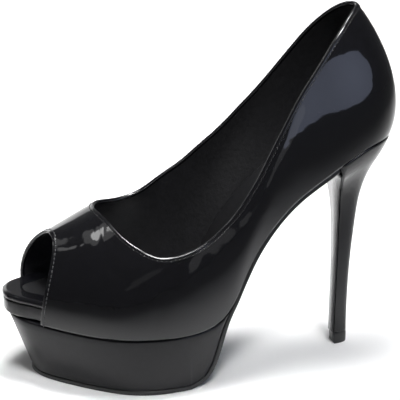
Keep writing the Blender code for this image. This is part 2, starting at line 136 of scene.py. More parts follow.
# Steps to each side that give a direction, in stations, and in metres for the bed's slope
EDGE_READ = 0.01
PATH_READ = 0.02
SLOPE_READ = LENGTH / 400.0

# How stations gather: at round ends as a share, and behind the throat as a power
END_GATHER = 0.25
THROAT_GATHER = 1.8

# The last's bottom, a row per station from toe tip to heel back. Along: share of LENGTH,
# bed: share of the rise from BED_HEIGHT to SEAT_HEIGHT, sides: shares of BALL_WIDTH
#        along  bed    lateral medial
LAST = (
    (0.0000, 0.035, 0.136, 0.136),
    (0.0060, 0.034, 0.057, 0.222),
    (0.0260, 0.031, -0.034, 0.313),
    (0.0651, 0.023, -0.134, 0.405),
    (0.1047, 0.015, -0.219, 0.456),
    (0.1581, 0.008, -0.324, 0.491),
    (0.2326, 0.002, -0.438, 0.500),
    (0.3164, 0.000, -0.494, 0.477),
    (0.4000, 0.002, -0.500, 0.426),
    (0.4605, 0.017, -0.472, 0.381),
    (0.5069, 0.065, -0.443, 0.347),
    (0.5441, 0.174, -0.420, 0.324),
    (0.5768, 0.326, -0.398, 0.307),
    (0.6139, 0.467, -0.375, 0.295),
    (0.6604, 0.598, -0.352, 0.284),
    (0.7162, 0.713, -0.330, 0.280),
    (0.7767, 0.804, -0.314, 0.284),
    (0.8373, 0.891, -0.302, 0.291),
    (0.8930, 0.961, -0.280, 0.277),
    (0.9396, 0.991, -0.236, 0.236),
    (0.9744, 1.000, -0.168, 0.168),
    (0.9945, 1.001, -0.086, 0.086),
    (1.0000, 1.001, 0.000, 0.000),
)
PEEP = 3
THROAT = 6
HALF_THROAT = 9
ALL_ROUND = 12
SEAT_BACK = len(LAST) - 1

# The line that the upper's sections rise to, a row per station from PEEP to heel back: the instep
# ridge in front of the throat, then a line above the collar, then the collar itself.
# Along and sides as above, height: share of the rise from BED_HEIGHT to TOP_HEIGHT
#        along  lateral height  medial height
CREST_LATERAL = (
    (0.1116, 0.091, 0.286),
    (0.1349, 0.091, 0.299),
    (0.1745, 0.089, 0.326),
    (0.2255, 0.084, 0.362),
    (0.3210, -0.080, 0.405),
    (0.4093, -0.295, 0.393),
    (0.4698, -0.375, 0.377),
    (0.5187, -0.386, 0.389),
    (0.5581, -0.378, 0.426),
    (0.5930, -0.364, 0.477),
    (0.6302, -0.347, 0.553),
    (0.6721, -0.325, 0.643),
    (0.7162, -0.300, 0.737),
    (0.7629, -0.268, 0.818),
    (0.8046, -0.232, 0.888),
    (0.8419, -0.184, 0.942),
    (0.8697, -0.134, 0.975),
    (0.8897, -0.086, 0.992),
    (0.9023, -0.043, 0.998),
    (0.9070, 0.000, 1.000),
)
CREST_MEDIAL = (
    (0.1116, 0.091, 0.286),
    (0.1349, 0.091, 0.299),
    (0.1745, 0.089, 0.326),
    (0.2255, 0.084, 0.362),
    (0.3210, 0.165, 0.420),
    (0.4093, 0.347, 0.435),
    (0.4698, 0.375, 0.450),
    (0.5187, 0.368, 0.483),
    (0.5581, 0.352, 0.525),
    (0.5930, 0.339, 0.568),
    (0.6302, 0.325, 0.616),
    (0.6721, 0.309, 0.673),
    (0.7162, 0.293, 0.740),
    (0.7629, 0.266, 0.818),
    (0.8046, 0.232, 0.888),
    (0.8419, 0.184, 0.942),
    (0.8697, 0.134, 0.975),
    (0.8897, 0.086, 0.992),
    (0.9023, 0.043, 0.998),
    (0.9070, 0.000, 1.000),
)
# How each section swells, a row per station as above. All are shares of the section's height,
# and reach is a share of the plan distance from foot to crest. The leans are backwards, for each side
#    foot out, up, lateral and medial lean, reach, swell, drop
SWELL = (
    (0.20, 0.50, 0.13, -0.02, 0.56, 0.00, 0.03),
    (0.16, 0.50, 0.08, 0.00, 0.53, 0.00, 0.01),
    (0.12, 0.50, 0.03, 0.01, 0.53, 0.00, 0.00),
    (0.10, 0.48, 0.00, 0.00, 0.55, 0.00, 0.00),
    (0.07, 0.45, 0.00, 0.00, 0.60, 0.01, 0.03),
    (0.05, 0.42, 0.00, 0.00, 0.62, 0.03, 0.14),
    (0.05, 0.38, 0.00, 0.00, 0.60, 0.04, 0.25),
    (0.05, 0.36, 0.00, 0.00, 0.58, 0.05, 0.30),
    (0.05, 0.34, 0.00, 0.00, 0.56, 0.06, 0.33),
    (0.05, 0.33, 0.00, 0.00, 0.55, 0.06, 0.33),
    (0.05, 0.33, 0.00, 0.00, 0.55, 0.06, 0.33),
    (0.05, 0.33, 0.00, 0.00, 0.55, 0.06, 0.33),
    (0.06, 0.33, 0.00, 0.00, 0.55, 0.06, 0.33),
    (0.06, 0.33, 0.00, 0.00, 0.55, 0.05, 0.33),
    (0.07, 0.33, 0.00, 0.00, 0.55, 0.04, 0.33),
    (0.08, 0.33, 0.00, 0.00, 0.57, 0.03, 0.32),
    (0.10, 0.32, 0.00, 0.00, 0.60, 0.03, 0.30),
    (0.115, 0.31, 0.00, 0.00, 0.63, 0.035, 0.28),
    (0.128, 0.30, 0.00, 0.00, 0.65, 0.04, 0.27),
    (0.128, 0.30, 0.00, 0.00, 0.65, 0.04, 0.27),
)
HIGH_LEAN = 0.6

# The collar cut seen from each side, shares as in the crest tables
#        along  height
CUT_LATERAL = (
    (0.2255, 0.362),
    (0.2326, 0.359),
    (0.2465, 0.345),
    (0.2628, 0.323),
    (0.2837, 0.303),
    (0.3116, 0.283),
    (0.3442, 0.268),
    (0.3768, 0.268),
    (0.4140, 0.278),
    (0.4558, 0.298),
    (0.4977, 0.332),
    (0.5395, 0.380),
    (0.5675, 0.423),
    (0.5999, 0.483),
    (0.6326, 0.556),
    (0.6791, 0.662),
    (0.7256, 0.780),
    (0.8217, 0.990),
    (0.9505, 1.200),
)
CUT_MEDIAL = (
    (0.2255, 0.362),
    (0.2326, 0.361),
    (0.2511, 0.351),
    (0.2791, 0.339),
    (0.3164, 0.333),
    (0.3674, 0.345),
    (0.4140, 0.377),
    (0.4512, 0.408),
    (0.4977, 0.452),
    (0.5395, 0.500),
    (0.5768, 0.543),
    (0.6186, 0.598),
    (0.6604, 0.660),
    (0.7070, 0.740),
    (0.8217, 0.990),
    (0.9505, 1.200),
)
# The sole seen from the side between the flat tread and the arch: the bed's station above it,
# along as share of LENGTH, height as share of BED_HEIGHT
#        station along height
SOLE_LINE = (
    (8.9, 0.4591, 0.055),
    (9.5, 0.4846, 0.205),
    (9.9, 0.5023, 0.450),
    (10.2, 0.5168, 0.770),
    (10.5, 0.5326, 1.080),
)
# The sole's width as a share of the last's, by station
SOLE_WIDTH = (
    (0.0, 0.960),
    (4.0, 0.970),
    (6.0, 0.960),
    (7.5, 0.925),
    (8.5, 0.885),
    (9.3, 0.870),
    (10.0, 0.895),
    (10.8, 0.940),
    (12.5, 0.970),
    (18.0, 0.970),
)
# Stations where the flat tread, the platform and the outsole end, and where the heel's front face is
TREAD_END = 8.2
PLATFORM_END = 10.8
OUTSOLE_END = 16.8
BREAST = 17.0

# Where a size turns from its toe value to its value behind, first and last station
INSET_TURN = (0.8, PEEP - 0.05)
BOARD_TURN = (4.0, 7.0)
SOCK_TURN = (3.5, 6.0)
RIM_TURN = (0.0, 5.0)
SHARP_TURN = (9.4, PLATFORM_END)
SQUARE_TURN = (3.0, 7.0)

# Knots of the sole's path before the end of the tread and along the arch, in stations
TREAD_KNOTS = (-1.2, -0.8, -0.4, 0.0)
ARCH_LEAD = 0.5
ARCH_PAST = 0.2
ARCH_KNOTS = 12

# How much of its rounding the platform keeps at its sharp rear edges
SHARP = 0.1
# Edge profiles from the bottom up: inset as a share of the edge's own rounding,
# height as a share of the piece's thickness
OUTSOLE_TOP = ((0.00, 0.80), (0.30, 0.95), (0.80, 1.00))
TIP_EDGE = ((1.00, 0.00), (0.30, 0.03), (0.00, 0.08), (-0.25, 0.90), (0.00, 0.96), (0.75, 1.00))
# The groove under the insole board's edge: inset and height as shares of the groove
BOARD_GROOVE = ((0.90, 0.15), (0.30, 0.40), (0.08, 0.70), (0.00, 1.00))
# The heel's square top edge: inset and depth as shares of SEAT_ROUND
HEEL_EDGE = ((0.00, 0.30), (0.20, 0.00))

# The heel in level slices. Height: share of the rise from the tip to SEAT_HEIGHT, front and back:
# shares of LENGTH, half width: share of BALL_WIDTH, tilt: how far the slice tilts with the seat
#    height  front   back    half   tilt
HEEL = (
    (0.000, 0.8644, 0.9028, 0.048, 0.00),
    (0.161, 0.8661, 0.9032, 0.049, 0.00),
    (0.312, 0.8673, 0.9064, 0.054, 0.00),
    (0.446, 0.8677, 0.9118, 0.061, 0.00),
    (0.572, 0.8673, 0.9188, 0.072, 0.05),
    (0.672, 0.8647, 0.9262, 0.092, 0.15),
    (0.748, 0.8609, 0.9370, 0.124, 0.35),
    (0.815, 0.8557, 0.9520, 0.172, 0.60),
    (0.873, 0.8495, 0.9710, 0.226, 0.85),
)
# How soon the flare bends from the heel's last slice to the seat
FLARE_BEND = 0.5
# The row where the breast cover starts to narrow, how much of its width's square it loses, how fast,
# and how far it reaches along the flare
BREAST_TURN = 7.8
BREAST_END = 0.9
BREAST_POWER = 4
BREAST_REACH = 0.75
# Half of the breast cover's section: depth as a share of SHEET, and width within its rounding
BREAST_SECTION = ((1.00, 0.55), (0.85, 0.85), (0.45, 0.97), (0.00, 1.00))

# A stitch along its half length: place and girth, as a share of STITCH_RADIUS
STITCH = ((-1.0, 0.25), (-0.8, 0.75), (-0.4, 1.00), (0.0, 1.00), (0.4, 1.00), (0.8, 0.75), (1.0, 0.25))
# Its height over the leather at the middle and its drop to the ends, as shares of STITCH_RADIUS
STITCH_TOP = 0.5
STITCH_DROP = 0.7

# Soft creases in the upper, the same on both sides: the station and the share of the section's height
# where each starts and ends, its half width and its depth
#    first low   last  high  width   depth
CREASES = (
    (5.60, 0.72, 5.76, 0.94, 0.0009, 0.00003),
    (5.82, 0.70, 5.94, 0.94, 0.0009, 0.00003),
    (6.02, 0.72, 6.14, 0.93, 0.0009, 0.00003),
    (5.66, 0.12, 5.74, 0.50, 0.0011, 0.00014),
    (5.82, 0.10, 5.90, 0.52, 0.0011, 0.00017),
    (5.98, 0.12, 6.06, 0.50, 0.0011, 0.00017),
    (6.14, 0.14, 6.22, 0.48, 0.0011, 0.00013),
    (6.30, 0.36, 7.30, 0.74, 0.0018, 0.00024),
    (7.00, 0.10, 7.40, 0.60, 0.0034, 0.00024),
    (5.20, 0.40, 6.60, 0.56, 0.0024, 0.00020),
    (8.20, 0.80, 10.30, 0.84, 0.0030, 0.00005),
    (9.20, 0.62, 11.20, 0.70, 0.0036, 0.00006),
)

# The photograph's camera: place, direction and lens, worked out from the outline
CAMERA_AT = (-0.2604, -0.9033, 0.4365)
CAMERA_LOOK = (0.25901, 0.90329, -0.34202)
CAMERA_LENS = 164.3
CAMERA_SENSOR = 36.0
CAMERA_CLIP = (0.05, 20.0)

# Colours, where two are given from the darkest to the lightest
WHITE = (1.0, 1.0, 1.0)
SKY = (0.86, 0.96, 1.30)
BLACK = (0.0042, 0.0042, 0.0056)
# Lighter than the other blacks: the insole band's colour holds a painted reflection of light on its face
BAND_PAINTED_REFLECTION = (0.030, 0.030, 0.031)
LINING = ((0.013, 0.013, 0.0145), (0.019, 0.019, 0.021))
SOCK_LEATHER = ((0.007, 0.007, 0.008), (0.011, 0.011, 0.012))
RUBBER = ((0.010, 0.010, 0.010), (0.018, 0.018, 0.018))
THREAD = ((0.009, 0.009, 0.009), (0.018, 0.018, 0.019))
# Lighter than the black thread: the toe stitches' colour holds painted glints of light on black thread
TOE_THREAD_PAINTED_GLINT = ((0.05, 0.05, 0.052), (0.09, 0.09, 0.092))
PALE = ((0.90, 0.90, 0.90), (0.915, 0.915, 0.915))

# Drifts of colour: noise scale per metre and detail. The ramp says where the drift starts and ends
PATENT_DRIFT = (260.0, 3.0)
MATTE_DRIFT = (420.0, 5.0)
FLOOR_DRIFT = (3.0, 2.0)
DRIFT_RAMP = (0.35, 0.68)
PATENT_DARKEST = 0.75

# Bumps, one row per layer: noise scale per metre, detail, strength and height in metres
UPPER_WAVES = ((38.0, 0.0, 0.3, 0.0012), (100.0, 1.0, 0.3, 0.0005), (420.0, 2.0, 0.04, 0.0003))
BLOCK_WAVES = ((60.0, 1.0, 0.15, 0.0010), (500.0, 2.0, 0.08, 0.0003))
HEEL_WAVES = ((60.0, 1.0, 0.12, 0.0010), (500.0, 2.0, 0.05, 0.0003))
LINING_GRAIN = ((420.0, 3.0, 0.35, 0.0006), (1400.0, 4.0, 0.4, 0.0002))
FOLD_WAVES = ((500.0, 2.0, 0.1, 0.0003),)
LEATHER_GRAIN = ((900.0, 4.0, 0.25, 0.0002),)
SOCK_GRAIN = ((1200.0, 4.0, 0.35, 0.0002),)
RUBBER_GRAIN = ((1800.0, 3.0, 0.3, 0.0002),)
THREAD_GRAIN = ((3000.0, 2.0, 0.3, 0.0001),)

# The dark leather under the lacquer, and the lacquer
LEATHER_ROUGH = 0.4
LEATHER_SHINE = 0.06
LACQUER_IOR = 1.52

# The studio floor, which bends up into a wall behind the shoe
FLOOR_FRONT = -2.6
FLOOR_BACK = 1.6
FLOOR_BEND = 0.6
FLOOR_STEPS = 12
WALL_TOP = 2.6
FLOOR_HALF = 3.0
FLOOR_ROUGH = 0.9
WORLD_LIGHT = 0.075

# What the light panels are placed around and what they face
SHOE_MIDDLE = (0.0, 0.0, 0.1)
FLOOR_BEHIND = (0.16, 0.55, 0.0)
FLOOR_BESIDE = (-0.03, 0.06, 0.0)
QUARTER = (0.06, -0.03, 0.15)
WAIST = (-0.005, -0.039, 0.082)
FOLD = (-0.044, -0.039, 0.068)

# Soft light panels around the shoe. Azimuth 0 is in front, towards -Y, and 90 towards +X
#    name, azimuth, elevation, reach, width, height, radiance, colour, spread, aim, shape, roll
PANELS = (
    ("key", 159.0, 62.0, 1.1, 0.70, 0.90, 2.0, WHITE, 46.0, FLOOR_BEHIND, "RECTANGLE", 0.0),
    ("edge", 180.0, 86.0, 0.9, 0.50, 0.12, 1.6, WHITE, 24.0, FLOOR_BESIDE, "RECTANGLE", 0.0),
    ("front", 0.0, 62.0, 0.9, 0.50, 0.12, 1.5, WHITE, 24.0, FLOOR_BESIDE, "RECTANGLE", 0.0),
    ("backdrop_glow", -166.0, 12.0, 1.5, 0.95, 0.80, 1.5, WHITE, 180.0, SHOE_MIDDLE, "RECTANGLE", 0.0),
    ("window", 38.0, 15.7, 0.36, 0.35, 0.15, 0.53, SKY, 120.0, QUARTER, "ELLIPSE", 8.0),
    ("low_card", 15.7, 4.4, 0.627, 0.15, 0.12, 0.34, WHITE, 180.0, WAIST, "ELLIPSE", -58.0),
    ("fold_card", -22.7, 13.3, 0.6, 0.24, 0.07, 0.15, WHITE, 180.0, FOLD, "ELLIPSE", 6.6),
    ("softbox", -103.0, 50.0, 1.5, 0.32, 0.085, 6.0, WHITE, 180.0, SHOE_MIDDLE, "ELLIPSE", 0.0),
    ("softbox_halo", -103.0, 48.5, 1.5, 0.60, 0.20, 0.8, WHITE, 180.0, SHOE_MIDDLE, "ELLIPSE", 0.0),
    ("strip", -99.0, 42.5, 1.5, 0.09, 0.07, 1.4, WHITE, 180.0, SHOE_MIDDLE, "ELLIPSE", 0.0),
)


def row_spline(rows, at, closed=False):
    """The cubic spline through a table's rows, read at fractional row numbers."""
    rows = np.asarray(rows, float)
    count = len(rows)
    if closed:
        rows = np.concatenate([rows, rows[:1]])
    system = 4.0 * np.eye(len(rows))
    pull = np.zeros_like(rows)
    for row in range(1, len(rows) - 1):
        system[row, [row - 1, row + 1]] = 1.0
        pull[row] = 6.0 * (rows[row + 1] - 2.0 * rows[row] + rows[row - 1])
    if closed:
        system[0, [1, count - 1]] = 1.0
        system[count, [1, count - 1]] = 1.0
        pull[[0, count]] = 6.0 * (rows[1] - 2.0 * rows[0] + rows[count - 1])
    bend = np.linalg.solve(system, pull)
    at = np.asarray(at, float)
    low = np.clip(np.floor(at).astype(int), 0, len(rows) - 2)
    after = (at - low)[:, None]
    before = 1.0 - after
    straight = before * rows[low] + after * rows[low + 1]
    return straight + ((before**3 - before) * bend[low] + (after**3 - after) * bend[low + 1]) / 6.0


def feather(stations, side, inset=0.0):
    """The last's bottom edge at some stations, moved inwards. Side is -1 for lateral and 1 for medial."""
    table = np.array(LAST)
    lateral = table[:, [0, 2, 1]]
    medial = table[-2:0:-1, [0, 3, 1]]
    loop = np.concatenate([lateral, medial]) * (LENGTH, BALL_WIDTH, SEAT_HEIGHT - BED_HEIGHT)
    around = np.asarray(stations, float)
    if side > 0:
        around = len(loop) - around
    around = np.mod(around, len(loop))
    edge = row_spline(loop, around, closed=True)
    ahead = row_spline(loop, np.mod(around + EDGE_READ, len(loop)), closed=True)
    behind = row_spline(loop, np.mod(around - EDGE_READ, len(loop)), closed=True)
    run = (ahead - behind)[:, :2]
    inwards = np.stack([-run[:, 1], run[:, 0]], 1) / np.linalg.norm(run, axis=1)[:, None]
    edge[:, :2] += np.multiply(inwards.T, inset).T
    edge[:, 2] = bed_height(edge[:, 0])
    return edge, -inwards


def bed_height(along):
    """The height of the last's bottom above the floor."""
    table = np.array(LAST)[:, :2] * (LENGTH, SEAT_HEIGHT - BED_HEIGHT)
    loop = np.concatenate([table, table[-2:0:-1]])
    fine = row_spline(loop, np.linspace(0.0, SEAT_BACK, BED_SAMPLES), closed=True)
    return BED_HEIGHT + np.interp(along, fine[:, 0], fine[:, 1])


def bed_normal(along):
    """The direction square to the bed in the side view, as (x, z)."""
    rise = bed_height(along + SLOPE_READ) - bed_height(along - SLOPE_READ)
    slope = rise / (2.0 * SLOPE_READ)
    size = np.hypot(slope, 1.0)
    return np.stack([-slope / size, 1.0 / size], 1)


def collar_height(along, side):
    """The collar cut's height seen from one side."""
    table = np.array(CUT_LATERAL if side < 0 else CUT_MEDIAL)
    fine = row_spline(table, np.linspace(0.0, len(table) - 1.0, COLLAR_SAMPLES))
    share = np.interp(along / LENGTH, fine[:, 0], fine[:, 1])
    return BED_HEIGHT + share * (TOP_HEIGHT - BED_HEIGHT)


def sections(stations, side, rows):
    """The upper's outer face as a grid: a section per station, from the feather edge to its top."""
    foot, outwards = feather(stations, side)
    at = np.asarray(stations, float) - PEEP
    scale = (LENGTH, BALL_WIDTH, TOP_HEIGHT - BED_HEIGHT)
    crest = row_spline(CREST_LATERAL if side < 0 else CREST_MEDIAL, at) * scale
    ridge = row_spline(np.add(CREST_LATERAL, CREST_MEDIAL) / 2.0, at) * scale
    crest = np.where(np.asarray(stations)[:, None] <= THROAT, ridge, crest)
    crest[:, 2] += BED_HEIGHT
    swell = row_spline(SWELL, at)
    height = (crest - foot)[:, 2]
    width = np.linalg.norm((crest - foot)[:, :2], axis=1)
    turn = fade(stations, (THROAT, ALL_ROUND))[:, None]
    across = (1.0 - turn) * np.array([0.0, side]) + turn * outwards
    low = foot.copy()
    low[:, :2] += outwards * (swell[:, 0] * height)[:, None]
    lean = swell[:, 2 if side < 0 else 3] * height
    low[:, 0] += lean
    low[:, 2] += swell[:, 1] * height
    high = crest.copy()
    high[:, :2] += across * (swell[:, 4] * width + swell[:, 5] * height)[:, None]
    high[:, 0] += HIGH_LEAN * lean
    high[:, 2] -= swell[:, 6] * height
    return cut_sections(stations, side, rows, (foot, low, high, crest))


def cut_sections(stations, side, rows, corners):
    """Each section as a cubic curve, ended where the collar cut crosses it."""
    foot, low, high, crest = (corner[:, None, :] for corner in corners)

    def curve(share):
        rest = 1.0 - share
        return (
            rest**3 * foot
            + 3.0 * rest**2 * share * low
            + 3.0 * rest * share**2 * high
            + share**3 * crest
        )

    fine = np.linspace(0.0, 1.0, SECTION_SAMPLES)
    points = curve(fine[None, :, None])
    over = points[:, :, 2] - collar_height(points[:, :, 0], side)
    end = np.ones(len(stations))
    for index, station in enumerate(stations):
        crossed = np.flatnonzero(over[index] > 0.0)
        if station > THROAT and len(crossed) and crossed[0] > 0:
            first = crossed[0]
            part = over[index, first - 1] / (over[index, first - 1] - over[index, first])
            end[index] = fine[first - 1] + part * (fine[1] - fine[0])
    return curve(np.linspace(0.0, 1.0, rows)[None, :, None] * end[:, None, None])


def level_on_bed(stations, inset, lift):
    """A pair of edges that follows the last's bottom at some distance inside its edge and above it."""
    pair = []
    for side in (-1, 1):
        edge, _ = feather(stations, side, inset)
        along = edge[:, 0].copy()
        normal = bed_normal(along)
        edge[:, 0] = along + normal[:, 0] * lift
        edge[:, 2] = edge[:, 2] + normal[:, 1] * lift
        pair.append(edge)
    return pair


def smooth_stations(first, last, count):
    """Stations that gather at both round ends."""
    share = np.linspace(0.0, 1.0, count)
    return first + (last - first) * (share + END_GATHER * (share - np.sin(0.5 * np.pi * share) ** 2))


def fade(stations, turn):
    """0 before a turn's first station, 1 after its last, smooth between."""
    start, end = turn
    share = np.clip((np.asarray(stations) - start) / (end - start), 0.0, 1.0)
    return share * share * (3.0 - 2.0 * share)


def blend(stations, turn, before, after):
    """One size before a turn, another after it."""
    return before + (after - before) * fade(stations, turn)


def insole_inset(stations):
    """How far the insole keeps inside the feather edge: proud at the toe, inside the wall behind."""
    return blend(stations, INSET_TURN, -TOE_LIP, WALL + 2.0 * GAP)


def sole_path(stations):
    """The outsole's underside in the side view, as (x, z), and its normal: tread, rear face, arch."""
    squeeze = 1.0 - TOE_OVERHANG / TREAD_REACH

    def tread(at):
        along = feather(at, -1)[0][:, 0]
        return np.stack([TREAD_REACH - (TREAD_REACH - along) * squeeze, np.zeros(len(along))], 1)

    lead = TREAD_END + np.array(TREAD_KNOTS)
    rise = np.array(SOLE_LINE)
    arch = np.append(PLATFORM_END, np.linspace(PLATFORM_END + ARCH_LEAD, BREAST + ARCH_PAST, ARCH_KNOTS))
    bed = feather(arch, -1)[0]
    depth = np.full((len(arch), 1), OUTSOLE + GAP)
    depth[0] += GAP + PLATFORM_THIN
    down = bed_normal(bed[:, 0]) * depth
    knots = np.concatenate([lead, rise[:, 0], arch])
    rows = np.concatenate([tread(lead), rise[:, 1:] * (LENGTH, BED_HEIGHT), bed[:, [0, 2]] - down])

    def path(at):
        curve = row_spline(rows, np.interp(at, knots, np.arange(len(knots))))
        return np.where(np.asarray(at)[:, None] <= TREAD_END, tread(at), curve)

    stations = np.asarray(stations, float)
    middle = path(stations)
    run = path(stations + PATH_READ) - path(np.maximum(stations - PATH_READ, 0.0))
    normal = np.stack([-run[:, 1], run[:, 0]], 1) / np.linalg.norm(run, axis=1)[:, None]
    normal[stations <= TREAD_END] = (0.0, 1.0)
    return middle, normal


def level_on_sole(stations, inset, lift):
    """A pair of edges that follows the outsole's underside, inside its edge and above it."""
    path, normal = sole_path(stations)
    normal = (normal.T * lift).T
    width = np.array(SOLE_WIDTH)
    fine = row_spline(width, np.linspace(0.0, len(width) - 1.0, WIDTH_SAMPLES))
    narrow = np.interp(stations, fine[:, 0], fine[:, 1])
    shorten = 1.0 - fade(stations, SQUARE_TURN)
    pair = []
    for side in (-1, 1):
        outline = feather(stations, side)[0]
        edge = feather(stations, side, inset)[0]
        along = path[:, 0] + (edge[:, 0] - outline[:, 0]) * shorten + normal[:, 0]
        pair.append(np.stack([along, edge[:, 1] * narrow, path[:, 1] + normal[:, 1]], 1))
    return pair


def heel_outline(front, back, half, stations):
    """A D-shaped slice with the seat's own curve, flat in front, as lateral and medial (x, y) edges."""
    pair = []
    for side in (-1, 1):
        seat = feather(stations, side)[0][:, :2]
        share = (seat - seat[0] * (1.0, 0.0)) / (LENGTH - seat[0, 0], abs(seat[0, 1]))
        pair.append(np.stack([front + share[:, 0] * (back - front), share[:, 1] * half], 1))
    return pair


def heel_slices(heights):
    """The heel's table read at fractional rows, in metres: height, front, back, half width and tilt."""
    foot = TIP_HEIGHT + GAP
    slices = row_spline(HEEL, heights) * (SEAT_HEIGHT - foot, LENGTH, LENGTH, BALL_WIDTH, 1.0)
    slices[:, 0] += foot
    return slices


def model_shift():
    """From the last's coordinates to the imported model's: the heel tip's flat front face is in both."""
    low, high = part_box("heel_tip")
    front = heel_slices([0.0])[0, 1]
    inset = min(narrow for narrow, _ in TIP_EDGE) * TIP_ROUND
    return Vector((low[0] - front - inset, (low[1] + high[1]) / 2.0, 0.0))


SHIFT = model_shift()


def clean_mesh(name, points, faces, materials, shift=SHIFT):
    """A smooth mesh object from points and faces, doubled points joined and faces turned outwards."""
    body = bmesh.new()
    corners = [body.verts.new(Vector(point) + shift) for point in np.asarray(points, float)]
    for face in faces:
        made = body.faces.new([corners[index] for index in face])
        made.smooth = True
    bmesh.ops.remove_doubles(body, verts=body.verts, dist=1e-6)
    bmesh.ops.dissolve_degenerate(body, edges=body.edges, dist=1e-7)
    bmesh.ops.recalc_face_normals(body, faces=body.faces)
    mesh = bpy.data.meshes.new(name)
    body.to_mesh(mesh)
    body.free()
    for material in materials:
        mesh.materials.append(material)
    item = bpy.data.objects.new(name, mesh)
    bpy.context.scene.collection.objects.link(item)
    return item


def place(item, slot, *nodes):
    """The piece rides with the shoe and stands for some CAD nodes, which are hidden. Its slot is not used.
    """
    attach(item, "root")
    if nodes:
        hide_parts(*nodes)


def unit(vectors):
    """Each vector with length one."""
    return vectors / np.linalg.norm(vectors, axis=-1)[..., None]


def run_along(path, closed):
    """The direction of a path at each of its points."""
    if closed:
        return unit(np.roll(path, -1, 0) - np.roll(path, 1, 0))
    return unit(np.gradient(path, axis=0))


def grid_faces(columns, rows, first=0):
    """Quads over a grid of columns by rows whose points follow one another column by column."""
    faces = []
    for column in range(columns - 1):
        for row in range(rows - 1):
            here = first + column * rows + row
            faces.append((here, here + rows, here + rows + 1, here + 1))
    return faces


def tube_faces(columns, sides, closed=False, first=0):
    """Quads around a tube, ring after ring, and its two ends unless it closes on itself."""
    faces = []
    for column in range(columns if closed else columns - 1):
        here = first + column * sides
        after = first + (column + 1) % columns * sides
        for side in range(sides):
            beside = (side + 1) % sides
            faces.append((here + side, after + side, after + beside, here + beside))
    if not closed:
        faces.append(tuple(first + side for side in range(sides)))
        faces.append(tuple(first + (columns - 1) * sides + side for side in range(sides)))
    return faces


def stack(levels):
    """Points and faces of a body between stacked outlines, its two ends closed by strips across."""
    count = len(levels[0][0])
    points = np.concatenate([np.concatenate([lateral, medial[::-1]]) for lateral, medial in levels])
    ring = 2 * count
    faces = []
    for level in range(len(levels) - 1):
        for index in range(ring):
            after = (index + 1) % ring
            base = level * ring
            faces.append((base + index, base + after, base + ring + after, base + ring + index))
    for base in (0, (len(levels) - 1) * ring):
        for index in range(count - 1):
            far = ring - 1 - index
            faces.append((base + index, base + index + 1, base + far - 1, base + far))
    return points, faces


def rings(path, across, deep, half_width, half_depth, sides):
    """An oval ring of points around each point of a path. Across and deep are its two directions."""
    turn = np.linspace(0.0, 2.0 * np.pi, sides, endpoint=False)[None, :, None]
    wide = half_width * np.cos(turn) * across
    tall = half_depth * np.sin(turn) * deep
    return (path[:, None] + wide + tall).reshape(-1, 3)


def quarter_round(count):
    """Steps round a rounded edge, as pairs of shares of its rounding: 1 less the sine and the cosine."""
    turn = np.linspace(0.0, 0.5 * np.pi, count)
    return list(zip(1.0 - np.sin(turn), 1.0 - np.cos(turn)))


def crease(grid, stations, side):
    """The grid of the upper with its soft troughs pressed in, square to the leather."""
    normal = unit_normals(grid)
    depth = np.zeros(grid.shape[:2])
    for *ends, width, deep in CREASES:
        share = np.linspace(0.0, 1.0, CREASE_STEPS)
        line = crease_line(grid, stations, share, *ends)
        away = np.linalg.norm(grid[:, :, None] - line, axis=3)
        pressed = deep * np.sin(np.pi * share) * np.exp(-((away / width) ** 2))
        depth += pressed.max(axis=2)
    lower = slice(0, grid.shape[1] // 2)
    outwards = np.sign(np.median(normal[:, lower, 1]) * side)
    return grid - outwards * normal * depth[:, :, None]


def unit_normals(grid):
    """The direction square to a grid at each of its points."""
    normal = np.cross(np.gradient(grid, axis=0), np.gradient(grid, axis=1))
    size = np.linalg.norm(normal, axis=2)
    return normal / np.maximum(size, 1e-12)[:, :, None]


def crease_line(grid, stations, share, first, low, last, high):
    """Points on the grid along a crease, between its start and its end."""
    column = np.interp(first + share * (last - first), stations, np.arange(len(stations)))
    row = (low + share * (high - low)) * (grid.shape[1] - 1.0)
    left = column.astype(int)
    under = row.astype(int)
    across = (column - left)[:, None]
    above = (row - under)[:, None]
    lower = (1.0 - across) * grid[left, under] + across * grid[left + 1, under]
    upper = (1.0 - across) * grid[left, under + 1] + across * grid[left + 1, under + 1]
    return (1.0 - above) * lower + above * upper


def fine_stations():
    """The upper's stations from the toe edge to the heel back, close together just behind the throat."""
    vamp = np.linspace(PEEP, THROAT, FINE_VAMP)
    spread = np.linspace(0.0, 1.0, FINE_THROAT) ** THROAT_GATHER
    throat = THROAT + (HALF_THROAT - THROAT) * spread
    quarter = np.linspace(HALF_THROAT, SEAT_BACK, FINE_QUARTER)
    return np.concatenate([vamp, throat[1:], quarter[1:]])


def make_upper(skin, lining):
    """The upper's shell with its lining. Its stations and both sides' grids are handed on."""
    stations = fine_stations()
    points, faces = [], []
    grids = {}
    for side in (-1, 1):
        grid = crease(sections(stations, side, FINE_ROWS), stations, side)
        grids[side] = grid
        faces += grid_faces(len(stations), FINE_ROWS, len(points))
        points += list(grid.reshape(-1, 3))
    item = clean_mesh("upper_shell", points, faces, [skin, lining])
    wall = item.modifiers.new("wall", "SOLIDIFY")
    wall.thickness = WALL
    wall.offset = -1.0
    wall.use_even_offset = True
    wall.material_offset = 1
    wall.material_offset_rim = 1
    place(item, "patent_upper", "upper")
    return item, stations, grids


def even_steps(path, step, closed):
    """A path's points again, evenly spaced."""
    if closed:
        path = np.concatenate([path, path[:1]])
    lengths = np.concatenate([[0.0], np.cumsum(np.linalg.norm(np.diff(path, axis=0), axis=1))])
    count = max(2, int(round(lengths[-1] / step)))
    marks = np.linspace(0.0, lengths[-1], count + 1)
    if closed:
        marks = marks[:-1]
    return np.stack([np.interp(marks, lengths, path[:, axis]) for axis in range(3)], 1)


